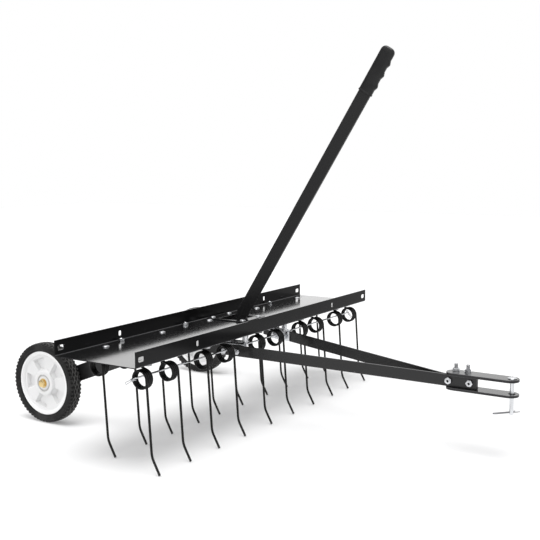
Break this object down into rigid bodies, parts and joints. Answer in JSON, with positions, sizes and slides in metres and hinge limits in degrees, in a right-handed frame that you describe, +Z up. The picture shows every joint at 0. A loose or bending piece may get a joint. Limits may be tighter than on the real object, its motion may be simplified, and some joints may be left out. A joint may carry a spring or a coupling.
{
  "type": "tow-behind dethatcher",
  "caption": "Tow-behind lawn dethatcher: open steel tray, two rows of coiled spring tines, V drawbar with clevis, and a lever-lifted pair of wheels.",
  "frame": {"origin": "centre of the bounding box at ground level", "axes": "+X forward to the hitch, +Y to the left, +Z up; the wheels and the tine toes stand on z = 0"},
  "size_m": [1.151, 1.016, 0.8861],
  "materials": {
    "black_steel": "black powder coat, semi-gloss",
    "spring_steel": "black painted spring wire",
    "zinc": "bright zinc plate",
    "yellow_zinc": "yellow zinc plate",
    "white_plastic": "moulded white plastic",
    "tyre_rubber": "matt black rubber",
    "grip_rubber": "matt black moulded grip"
  },
  "bodies": {
    "tray_body": {"bar_bolt_1": "zinc", "bar_bolt_2": "zinc", "drawbar_bolt_left_1": "zinc", "drawbar_bolt_left_2": "zinc", "drawbar_bolt_right_1": "zinc", "drawbar_bolt_right_2": "zinc", "drawbar_left": "black_steel", "drawbar_right": "black_steel", "handle_bracket": "black_steel", "hitch_bracket_left": "zinc", "hitch_bracket_right": "zinc", "hitch_strap_lower": "black_steel", "hitch_strap_upper": "black_steel", "shaft_hanger_1": "zinc", "shaft_hanger_2": "zinc", "shaft_hanger_3": "zinc", "shoulder_bolt_left_1": "zinc", "shoulder_bolt_left_2": "zinc", "shoulder_bolt_right_1": "zinc", "shoulder_bolt_right_2": "zinc", "strap_bolt_1": "zinc", "strap_bolt_2": "zinc", "tine_bolt_front_1": "zinc", "tine_bolt_front_2": "zinc", "tine_bolt_front_3": "zinc", "tine_bolt_front_4": "zinc", "tine_bolt_front_5": "zinc", "tine_bolt_rear_1": "zinc", "tine_bolt_rear_2": "zinc", "tine_bolt_rear_3": "zinc", "tine_bolt_rear_4": "zinc", "tine_bolt_rear_5": "zinc", "tine_front_1": "spring_steel", "tine_front_2": "spring_steel", "tine_front_3": "spring_steel", "tine_front_4": "spring_steel", "tine_front_5": "spring_steel", "tine_rear_1": "spring_steel", "tine_rear_2": "spring_steel", "tine_rear_3": "spring_steel", "tine_rear_4": "spring_steel", "tine_rear_5": "spring_steel", "tine_rod": "zinc", "tine_rod_clip_1": "zinc", "tine_rod_clip_2": "zinc", "tray": "black_steel"},
    "lift": {"lift_frame": "black_steel", "lift_handle": "black_steel", "grip": "grip_rubber", "handle_bolt": "zinc", "axle_bolt_left": "yellow_zinc", "axle_bolt_right": "yellow_zinc"},
    "wheel_left": {"hub_left": "white_plastic", "tyre_left": "tyre_rubber"},
    "wheel_right": {"hub_right": "white_plastic", "tyre_right": "tyre_rubber"},
    "hitch_pin_body": {"hitch_pin": "zinc"},
    "pin_clip_body": {"hitch_pin_clip": "zinc"}
  },
  "joints": [
    {"name": "lift_pivot", "type": "hinge", "parent": "tray_body", "child": "lift", "pos_m": [-0.1795, 0, 0.213], "axis": [0, -1, 0], "range_deg": [0, 55]},
    {"name": "wheel_left_spin", "type": "hinge", "parent": "lift", "child": "wheel_left", "pos_m": [-0.4785, 0.3086, 0.097], "axis": [0, 1, 0], "continuous": true},
    {"name": "wheel_right_spin", "type": "hinge", "parent": "lift", "child": "wheel_right", "pos_m": [-0.4785, -0.3086, 0.097], "axis": [0, 1, 0], "continuous": true},
    {"name": "hitch_pin_slide", "type": "slide", "parent": "tray_body", "child": "hitch_pin_body", "axis": [0, 0, 1], "range_m": [0, 0.033]},
    {"name": "pin_clip_slide", "type": "slide", "parent": "hitch_pin_body", "child": "pin_clip_body", "axis": [-0.6691, -0.7431, 0], "range_m": [0, 0.028]}
  ]
}
